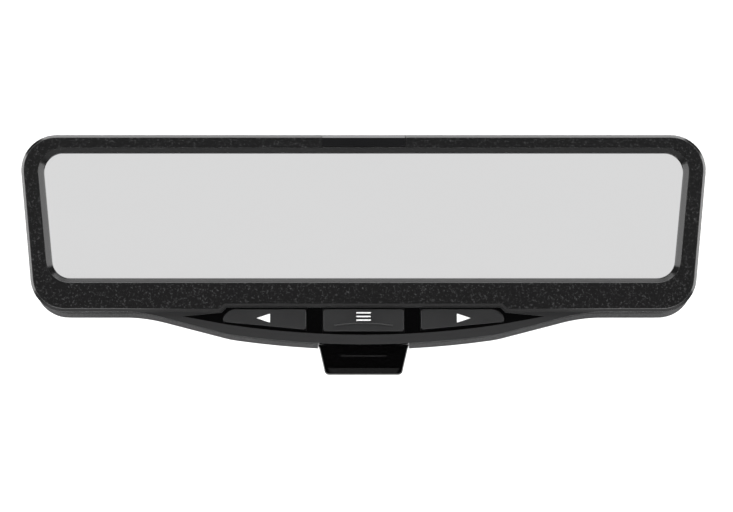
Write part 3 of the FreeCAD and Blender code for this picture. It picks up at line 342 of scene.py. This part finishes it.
def glossy(name, colour, roughness, specular):
    """Polished plastic with faint flow marks."""
    recipe = Recipe(name)
    ripple = recipe.noise(14 * MM, 2.0, 0.5)
    shade_of = tuple(channel * 1.6 + 0.0004 for channel in colour)
    recipe.link(recipe.blend(ripple, colour, shade_of), recipe.shader.inputs["Base Color"])
    haze = recipe.noise(3 * MM, 3.0)
    haze = recipe.spread(haze, roughness - 0.02, roughness + 0.03, 0.3, 0.7)
    recipe.link(haze, recipe.shader.inputs["Roughness"])
    recipe.set(Specular_IOR_Level=specular)
    recipe.bump(ripple, 0.004 * MM)
    return recipe.material


def coated_mirror(name, tint):
    """Two-way mirror glass: a bright coat with faint wipe marks."""
    recipe = Recipe(name)
    wipes = recipe.noise(30 * MM, 4.0, 0.5, (1, 1, 3))
    deeper = tuple(channel * 0.992 for channel in tint)
    recipe.link(recipe.blend(wipes, tint, deeper), recipe.shader.inputs["Base Color"])
    recipe.link(recipe.spread(wipes, 0.015, 0.03, 0.3, 0.7), recipe.shader.inputs["Roughness"])
    recipe.set(Metallic=1.0)
    return recipe.material


def metal(name, dark, light, roughness, stretch=(1, 1, 1)):
    """Bare or plated metal with fine drawn lines along its long side."""
    recipe = Recipe(name)
    lines = recipe.noise(0.5 * MM, 4.0, 0.6, stretch)
    recipe.link(recipe.blend(lines, dark, light), recipe.shader.inputs["Base Color"])
    polish = recipe.spread(lines, roughness - 0.06, roughness + 0.08, 0.3, 0.7)
    recipe.link(polish, recipe.shader.inputs["Roughness"])
    recipe.set(Metallic=1.0)
    recipe.bump(lines, 0.006 * MM)
    return recipe.material


def circuit_board(name, green, track):
    """Lacquered board with faint tracks under the lacquer."""
    recipe = Recipe(name)
    tracks = recipe.spread(recipe.cells(3.2 * MM, "DISTANCE_TO_EDGE"), 1, 0, 0.03, 0.06)
    recipe.link(recipe.blend(tracks, green, track), recipe.shader.inputs["Base Color"])
    recipe.link(recipe.spread(tracks, 0.28, 0.36), recipe.shader.inputs["Roughness"])
    recipe.bump(tracks, 0.03 * MM)
    return recipe.material


def foam(name, dark, light):
    """Closed-cell foam tape."""
    recipe = Recipe(name)
    pores = recipe.cells(0.35 * MM)
    recipe.link(recipe.blend(pores, light, dark), recipe.shader.inputs["Base Color"])
    recipe.set(Roughness=0.9, Specular_IOR_Level=0.2)
    recipe.bump(pores, 0.06 * MM)
    return recipe.material


def printed(name, colour):
    """Pad-printed ink."""
    recipe = Recipe(name)
    cover = recipe.noise(0.25 * MM, 3.0)
    thin = tuple(channel * 0.86 for channel in colour)
    shaded = recipe.blend(recipe.spread(cover, 0, 1, 0.4, 0.7), colour, thin)
    recipe.link(shaded, recipe.shader.inputs["Base Color"])
    recipe.set(Roughness=0.5, Specular_IOR_Level=0.3)
    recipe.bump(cover, 0.004 * MM)
    return recipe.material


# ---- what a user may change ----

def colour_setting(name, description, default):
    return bpy.props.FloatVectorProperty(name=name, description=description, subtype="COLOR", size=3,
                                         min=0, max=1, default=default)


def length_setting(name, description, default):
    return bpy.props.FloatProperty(name=name, description=description, unit="LENGTH", subtype="DISTANCE",
                                   min=0, precision=5, default=default)


class MirrorFinishSettings(bpy.types.PropertyGroup):
    bezel_dark: colour_setting("Bezel", "Bezel between the grains", (0.0006, 0.0006, 0.0007))
    bezel_light: colour_setting("Bezel grain", "Tops of the bezel's grain", (0.052, 0.052, 0.053))
    cover_dark: colour_setting("Cover", "Rear cover between the grains", (0.060, 0.060, 0.061))
    cover_light: colour_setting("Cover grain", "Tops of the rear cover's grain", (0.100, 0.100, 0.101))
    cap_dark: colour_setting("Caps", "Button caps", (0.008, 0.0081, 0.0084))
    cap_light: colour_setting("Caps, grain", "Grain of the button caps", (0.012, 0.0121, 0.0126))
    tab_colour: colour_setting("Tab", "Day and night tab", (0.0012, 0.0012, 0.0013))
    glass_tint: colour_setting("Mirror", "Tint of the mirror coat", (0.925, 0.925, 0.927))
    ink_colour: colour_setting("Ink", "Marks on the buttons", (0.80, 0.80, 0.80))


class MirrorEdgeSettings(bpy.types.PropertyGroup):
    bezel_edge: length_setting("Bezel edges", "Rounding of the bezel's edges", 0.22 * MM)
    cover_edge: length_setting("Cover edges", "Rounding of the rear cover's edges", 0.3 * MM)
    tab_edge: length_setting("Tab edges", "Rounding of the tab's edges", 0.2 * MM)
    sensor_edge: length_setting("Sensor edges", "Rounding of the sensor window's edges", 0.3 * MM)
    bracket_edge: length_setting("Bracket edges", "Rounding of the bracket's edges", 0.5 * MM)
    cap_edge: length_setting("Cap edges", "Rounding of the caps' edges", 0.08 * MM)


class MirrorMarkSettings(bpy.types.PropertyGroup):
    arrow_length: length_setting("Arrow length", "Base to tip of the arrows", 5.0 * MM)
    arrow_height: length_setting("Arrow height", "Base of the arrows", 3.3 * MM)
    bar_length: length_setting("Bar length", "Bars of the menu mark", 5.4 * MM)
    bar_height: length_setting("Bar height", "Bars of the menu mark", 0.5 * MM)
    bar_pitch: length_setting("Bar pitch", "Bar to bar of the menu mark", 1.35 * MM)
    ink_height: length_setting("Ink", "Thickness of the print", 0.04 * MM)
    ridge_half: length_setting("Ridge", "Half the raised ridge of the middle cap", 10.8 * MM)
    ridge_drop: length_setting("Ridge drop", "How far the ridge's ends curve down", 0.8 * MM)
    ridge_radius: length_setting("Ridge thickness", "Radius of the raised ridge", 0.22 * MM)


class MirrorStageSettings(bpy.types.PropertyGroup):
    camera_distance: length_setting("Camera distance", "Camera to the bezel", 0.75)
    camera_lens: bpy.props.FloatProperty(name="Lens", description="Focal length in millimetres", default=99.5)
    camera_drop: bpy.props.FloatProperty(name="Camera drop", description="How far the camera looks up",
                                         subtype="ANGLE", unit="ROTATION", default=radians(5))
    floor_drop: length_setting("Floor drop", "Origin to the floor", 0.9)
    top_light: bpy.props.FloatProperty(name="Top light", description="Watts", default=60)
    side_light: bpy.props.FloatProperty(name="Side lights", description="Watts", default=38)
    wall_light: bpy.props.FloatProperty(name="Wall light", description="Watts", default=40)
    low_light: bpy.props.FloatProperty(name="Low light", description="Watts", default=13)
    sky: bpy.props.FloatProperty(name="Sky", description="Strength of the surroundings", default=0.75)


# ---- finishes ----

def all_finishes():
    """The material of every slot."""
    colours = bpy.context.scene.mirror_finish
    return {
        "textured_black": grained_bezel("textured_black", colours.bezel_dark, colours.bezel_light),
        "shell_grey": moulded("shell_grey", colours.cover_dark, colours.cover_light, 0.6, 0.4, 0.6 * MM,
                              0.05 * MM),
        "mirror_coat": coated_mirror("mirror_coat", colours.glass_tint),
        "gloss_black": polished_tab("gloss_black", colours.tab_colour),
        "window_black": glossy("window_black", (0.0015, 0.0015, 0.0018), 0.14, 0.16),
        "button_grey": moulded("button_grey", colours.cap_dark, colours.cap_light, 0.42, 0.3, 0.3 * MM,
                               0.006 * MM),
        "display_black": glossy("display_black", (0.004, 0.004, 0.006), 0.2, 0.5),
        "light_unit_white": moulded("light_unit_white", (0.74, 0.74, 0.72), (0.8, 0.8, 0.79), 0.5, 0.4),
        "foam_black": foam("foam_black", (0.008, 0.008, 0.008), (0.03, 0.03, 0.03)),
        "frame_steel": metal("frame_steel", (0.50, 0.50, 0.51), (0.60, 0.60, 0.61), 0.34, (0.05, 1, 1)),
        "board_green": circuit_board("board_green", (0.008, 0.075, 0.028), (0.014, 0.12, 0.05)),
        "chip_black": moulded("chip_black", (0.010, 0.010, 0.011), (0.018, 0.018, 0.019), 0.55, 0.4),
        "switch_metal": metal("switch_metal", (0.52, 0.52, 0.52), (0.62, 0.62, 0.61), 0.3),
        "socket_black": moulded("socket_black", (0.012, 0.012, 0.013), (0.02, 0.02, 0.021), 0.45, 0.45),
        "contact_brass": metal("contact_brass", (0.70, 0.52, 0.25), (0.80, 0.62, 0.32), 0.25),
        "screw_steel": metal("screw_steel", (0.42, 0.42, 0.43), (0.56, 0.56, 0.57), 0.28),
        "pin_steel": metal("pin_steel", (0.54, 0.54, 0.55), (0.66, 0.66, 0.67), 0.2, (0.04, 1, 1)),
        "nylon_white": moulded("nylon_white", (0.66, 0.65, 0.61), (0.74, 0.73, 0.69), 0.45, 0.45),
        "toggle_black": moulded("toggle_black", (0.010, 0.010, 0.011), (0.02, 0.02, 0.021), 0.5, 0.4, 0.5 * MM),
        "ball_steel": metal("ball_steel", (0.40, 0.40, 0.41), (0.52, 0.52, 0.53), 0.22, (1, 0.1, 1)),
        "bracket_black": moulded("bracket_black", (0.014, 0.014, 0.015), (0.03, 0.03, 0.031), 0.5, 0.45,
                                 0.8 * MM, 0.05 * MM),
        "ink_white": printed("ink_white", colours.ink_colour),
    }


class MIRROR_OT_apply_finishes(bpy.types.Operator):
    """Give every CAD piece its finish"""
    bl_idname = "mirror.apply_finishes"
    bl_label = "Apply finishes"

    def execute(self, context):
        made = all_finishes()
        for node, piece in frame["nodes"].items():
            slot = slot_of_node(node)
            if slot not in made:
                raise RuntimeError(f"no finish for {slot}")
            piece.data.materials.clear()
            piece.data.materials.append(made[slot])
        return {"FINISHED"}


# ---- softened mouldings ----

def soften(node, width, segments=2):
    """A copy of a CAD piece with its sharp edges rounded, which stands in for it."""
    source = frame["nodes"][node]
    piece = bpy.data.objects.new(node + "_soft", source.data.copy())
    piece.data.name = node + "_soft"
    bpy.context.scene.collection.objects.link(piece)
    start_edit(piece, "VERT")
    bpy.ops.mesh.customdata_custom_splitnormals_clear()
    bpy.ops.mesh.select_all(action="SELECT")
    bpy.ops.mesh.remove_doubles(threshold=0.002 * MM)
    bpy.ops.mesh.dissolve_limited(angle_limit=radians(0.3))
    end_edit()
    round_edges(piece, width, segments)
    shade(piece)
    finish_piece(piece, body_of_node(node), source.data.materials[0])
    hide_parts(node)
    return piece


class MIRROR_OT_soften_housing(bpy.types.Operator):
    """Round the edges of the bezel, the cover and the sensor window"""
    bl_idname = "mirror.soften_housing"
    bl_label = "Soften housing"

    def execute(self, context):
        edges = context.scene.mirror_edges
        soften("front_bezel", edges.bezel_edge)
        soften("rear_cover", edges.cover_edge)
        soften("sensor_window", edges.sensor_edge, 3)
        return {"FINISHED"}


class MIRROR_OT_soften_controls(bpy.types.Operator):
    """Round the edges of the caps and the tab"""
    bl_idname = "mirror.soften_controls"
    bl_label = "Soften controls"

    def execute(self, context):
        edges = context.scene.mirror_edges
        for cap in ("left_button", "menu_button", "right_button"):
            soften(cap, edges.cap_edge)
        soften("day_night_tab", edges.tab_edge, 3)
        return {"FINISHED"}


class MIRROR_OT_soften_mount(bpy.types.Operator):
    """Round the edges of the windshield bracket"""
    bl_idname = "mirror.soften_mount"
    bl_label = "Soften mount"

    def execute(self, context):
        soften("windshield_bracket", context.scene.mirror_edges.bracket_edge, 3)
        return {"FINISHED"}


# ---- marks ----

def middle_of(node):
    """The middle of a CAD piece's box, on its front."""
    low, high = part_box(node)
    return Vector(((low[0] + high[0]) / 2, low[1], (low[2] + high[2]) / 2))


def add_arrow(node, way):
    """A printed arrow on an outer cap; way is -1 to the left and 1 to the right."""
    marks = bpy.context.scene.mirror_marks
    spot = middle_of(node) - Vector((way * marks.arrow_length / 6, 0, 0))
    turn = Matrix(((0, way, 0), (0, 0, way), (1, 0, 0))).to_euler()
    clear_selection()
    bpy.ops.mesh.primitive_cylinder_add(vertices=3, radius=1, depth=2, location=spot, rotation=turn)
    piece = bpy.context.object
    piece.scale = (marks.arrow_height / sqrt(3), marks.arrow_length / 1.5, marks.ink_height)
    settle(piece, node + "_arrow")
    face_outwards(piece)
    start_edit(piece, "EDGE")
    pick_edges(piece, lambda middle, span: abs(span.y) > marks.ink_height)
    bpy.ops.mesh.bevel(offset=ARROW_CORNER, segments=3, affect="EDGES")
    end_edit()
    shade(piece)
    finish_piece(piece, body_of_node(node), bpy.data.materials["ink_white"])


class MIRROR_OT_add_arrows(bpy.types.Operator):
    """Print an arrow on each outer cap"""
    bl_idname = "mirror.add_arrows"
    bl_label = "Add arrows"

    def execute(self, context):
        add_arrow("left_button", -1)
        add_arrow("right_button", 1)
        return {"FINISHED"}


class MIRROR_OT_add_menu_mark(bpy.types.Operator):
    """Print three bars on the middle cap and raise a curved ridge under them"""
    bl_idname = "mirror.add_menu_mark"
    bl_label = "Add menu mark"

    def execute(self, context):
        marks = context.scene.mirror_marks
        self.add_bars(context, marks)
        self.add_ridge(marks)
        return {"FINISHED"}

    def add_bars(self, context, marks):
        """Three equal bars, one above the other, joined into one mark."""
        spot = middle_of("menu_button") + Vector((0, 0, MARK_RISE))
        half = Vector((marks.bar_length / 2, marks.ink_height, marks.bar_height / 2))
        bars = []
        for step in (-1, 0, 1):
            middle = spot + Vector((0, 0, step * marks.bar_pitch))
            bar = add_box(f"menu_bar_{step + 2}", middle - half, middle + half)
            start_edit(bar, "EDGE")
            pick_edges(bar, lambda middle, span: abs(span.y) > marks.ink_height)
            bpy.ops.mesh.bevel(offset=marks.bar_height * 0.4, segments=3, affect="EDGES")
            end_edit()
            bars.append(bar)
        clear_selection()
        for bar in bars:
            bar.select_set(True)
        context.view_layer.objects.active = bars[0]
        bpy.ops.object.join()
        mark = settle(bars[0], "menu_mark")
        shade(mark)
        finish_piece(mark, "menu_key", bpy.data.materials["ink_white"])

    def add_ridge(self, marks):
        """A round bar swept along a shallow arc, half sunk in the cap."""
        rise = marks.ridge_drop
        reach = (marks.ridge_half ** 2 + rise ** 2) / (2 * rise)
        angle = asin(marks.ridge_half / reach)
        top = middle_of("menu_button") - Vector((0, 0, RIDGE_FALL))
        centre = top - Vector((0, 0, reach))
        start = centre + Vector((sin(-angle), 0, cos(angle))) * reach
        clear_selection()
        bpy.ops.mesh.primitive_circle_add(vertices=RIDGE_SIDES, radius=marks.ridge_radius, location=start,
                                          rotation=(0, radians(90) - angle, 0))
        ridge = settle(bpy.context.object, "menu_ridge")
        start_edit(ridge, "VERT")
        bpy.ops.mesh.select_all(action="SELECT")
        bpy.ops.mesh.spin(steps=RIDGE_STEPS, angle=2 * angle, center=centre, axis=(0, -1, 0))
        end_edit()
        across = [point.co.x for point in ridge.data.vertices]
        if abs(min(across) + marks.ridge_half) > MM or max(across) < 0:
            raise RuntimeError("the ridge was spun the wrong way")
        start_edit(ridge, "EDGE")
        bpy.ops.mesh.select_non_manifold()
        bpy.ops.mesh.edge_face_add()
        end_edit()
        face_outwards(ridge)
        shade(ridge, 40)
        finish_piece(ridge, "menu_key", bpy.data.materials["button_grey"])


# ---- stage ----

def stage_material(name, colour, roughness):
    """Matt paper."""
    recipe = Recipe(name)
    mottle = recipe.noise(0.4, 2.0)
    shaded = tuple(channel * 0.985 for channel in colour)
    recipe.link(recipe.blend(mottle, colour, shaded), recipe.shader.inputs["Base Color"])
    recipe.set(Roughness=roughness, Specular_IOR_Level=0.1)
    return recipe.material


def add_area_light(name, location, target, width, height, power):
    """A soft rectangular light that looks at a point."""
    clear_selection()
    bpy.ops.object.light_add(type="AREA", location=location)
    light = bpy.context.object
    light.name = name
    light.data.shape = "RECTANGLE"
    light.data.size = width
    light.data.size_y = height
    light.data.energy = power
    light.rotation_euler = (Vector(target) - Vector(location)).to_track_quat("-Z", "Y").to_euler()


class MIRROR_OT_set_stage(bpy.types.Operator):
    """Add the floor, the backdrop, the lights and the camera"""
    bl_idname = "mirror.set_stage"
    bl_label = "Set stage"

    def execute(self, context):
        setup = context.scene.mirror_stage
        self.add_paper(setup)
        self.add_lights(setup)
        self.add_sky(context.scene, setup)
        self.add_camera(context.scene, setup)
        context.scene.view_settings.view_transform = "Standard"
        return {"FINISHED"}

    def add_paper(self, setup):
        """A floor that curves up into a wall behind the mirror."""
        clear_selection()
        bpy.ops.mesh.primitive_plane_add(size=FLOOR_SIZE, location=(0, FLOOR_MIDDLE, -setup.floor_drop))
        paper = settle(bpy.context.object, "floor")
        start_edit(paper, "EDGE")
        pick_edges(paper, lambda middle, span: middle.y > WALL_START)
        bpy.ops.mesh.extrude_region_move(TRANSFORM_OT_translate={"value": (0, 0, WALL_HEIGHT)})
        bpy.ops.mesh.select_all(action="DESELECT")
        pick_edges(paper, lambda middle, span: middle.y > WALL_START and middle.z < 0 and abs(middle.x) < 1)
        bpy.ops.mesh.bevel(offset=COVE, segments=16, affect="EDGES")
        end_edit()
        shade(paper, 60)
        paper.data.materials.append(stage_material("paper", (0.86, 0.86, 0.86), 0.8))

    def add_lights(self, setup):
        for name, location, target, width, height, power in LIGHTS:
            add_area_light(name, location, target, width, height, getattr(setup, power))

    def add_sky(self, scene, setup):
        """Even surroundings that darken low in front of the mirror; the camera sees plain white."""
        world = bpy.data.worlds.new("surroundings")
        scene.world = world
        world.use_nodes = True
        tree = world.node_tree
        tree.nodes.clear()
        output = tree.nodes.new("ShaderNodeOutputWorld")
        seen = tree.nodes.new("ShaderNodeBackground")
        around = tree.nodes.new("ShaderNodeBackground")
        join = tree.nodes.new("ShaderNodeMixShader")
        path = tree.nodes.new("ShaderNodeLightPath")
        place = tree.nodes.new("ShaderNodeTexCoord")
        split = tree.nodes.new("ShaderNodeSeparateXYZ")
        height = tree.nodes.new("ShaderNodeMapRange")
        height.interpolation_type = "SMOOTHSTEP"
        height.inputs["From Min"].default_value = sin(SKY_FADE[0])
        height.inputs["From Max"].default_value = sin(SKY_FADE[1])
        height.inputs["To Min"].default_value = SKY_FLOOR
        height.inputs["To Max"].default_value = setup.sky
        seen.inputs["Color"].default_value = (1, 1, 1, 1)
        around.inputs["Color"].default_value = (1, 1, 1, 1)
        tree.links.new(place.outputs["Generated"], split.inputs["Vector"])
        tree.links.new(split.outputs["Z"], height.inputs["Value"])
        tree.links.new(height.outputs["Result"], around.inputs["Strength"])
        tree.links.new(path.outputs["Is Camera Ray"], join.inputs["Fac"])
        tree.links.new(around.outputs["Background"], join.inputs[1])
        tree.links.new(seen.outputs["Background"], join.inputs[2])
        tree.links.new(join.outputs["Shader"], output.inputs["Surface"])

    def add_camera(self, scene, setup):
        away = Vector((0, -cos(setup.camera_drop), -sin(setup.camera_drop)))
        clear_selection()
        bpy.ops.object.camera_add(location=CAMERA_TARGET + away * setup.camera_distance)
        camera = bpy.context.object
        camera.name = "camera"
        camera.data.lens = setup.camera_lens
        camera.data.sensor_width = 36
        camera.data.clip_start = 0.01
        camera.rotation_euler = (-away).to_track_quat("-Z", "Y").to_euler()
        scene.camera = camera


class MIRROR_PT_sidebar(bpy.types.Panel):
    """Sizes, colours and steps of the mirror monitor"""
    bl_idname = "MIRROR_PT_sidebar"
    bl_label = "Mirror Monitor"
    bl_space_type = "VIEW_3D"
    bl_region_type = "UI"
    bl_category = "Mirror Monitor"

    def draw(self, context):
        layout = self.layout
        for group in (context.scene.mirror_finish, context.scene.mirror_edges, context.scene.mirror_marks,
                      context.scene.mirror_stage):
            box = layout.box()
            for name in group.bl_rna.properties.keys():
                if name not in ("rna_type", "name"):
                    box.prop(group, name)
        for step in STEPS:
            layout.operator(step.bl_idname)


SETTINGS = {
    "mirror_finish": MirrorFinishSettings,
    "mirror_edges": MirrorEdgeSettings,
    "mirror_marks": MirrorMarkSettings,
    "mirror_stage": MirrorStageSettings,
}
STEPS = (MIRROR_OT_apply_finishes, MIRROR_OT_soften_housing, MIRROR_OT_soften_controls, MIRROR_OT_soften_mount,
         MIRROR_OT_add_arrows, MIRROR_OT_add_menu_mark, MIRROR_OT_set_stage)


def register():
    for name, group in SETTINGS.items():
        bpy.utils.register_class(group)
        setattr(bpy.types.Scene, name, bpy.props.PointerProperty(type=group))
    for step in STEPS:
        bpy.utils.register_class(step)
    bpy.utils.register_class(MIRROR_PT_sidebar)


def unregister():
    bpy.utils.unregister_class(MIRROR_PT_sidebar)
    for step in reversed(STEPS):
        bpy.utils.unregister_class(step)
    for name, group in SETTINGS.items():
        delattr(bpy.types.Scene, name)
        bpy.utils.unregister_class(group)


def main():
    register()
    bpy.ops.mirror.apply_finishes()
    bpy.ops.mirror.soften_housing()
    bpy.ops.mirror.soften_controls()
    bpy.ops.mirror.soften_mount()
    bpy.ops.mirror.add_arrows()
    bpy.ops.mirror.add_menu_mark()
    bpy.ops.mirror.set_stage()


if __name__ == "__main__":
    main()
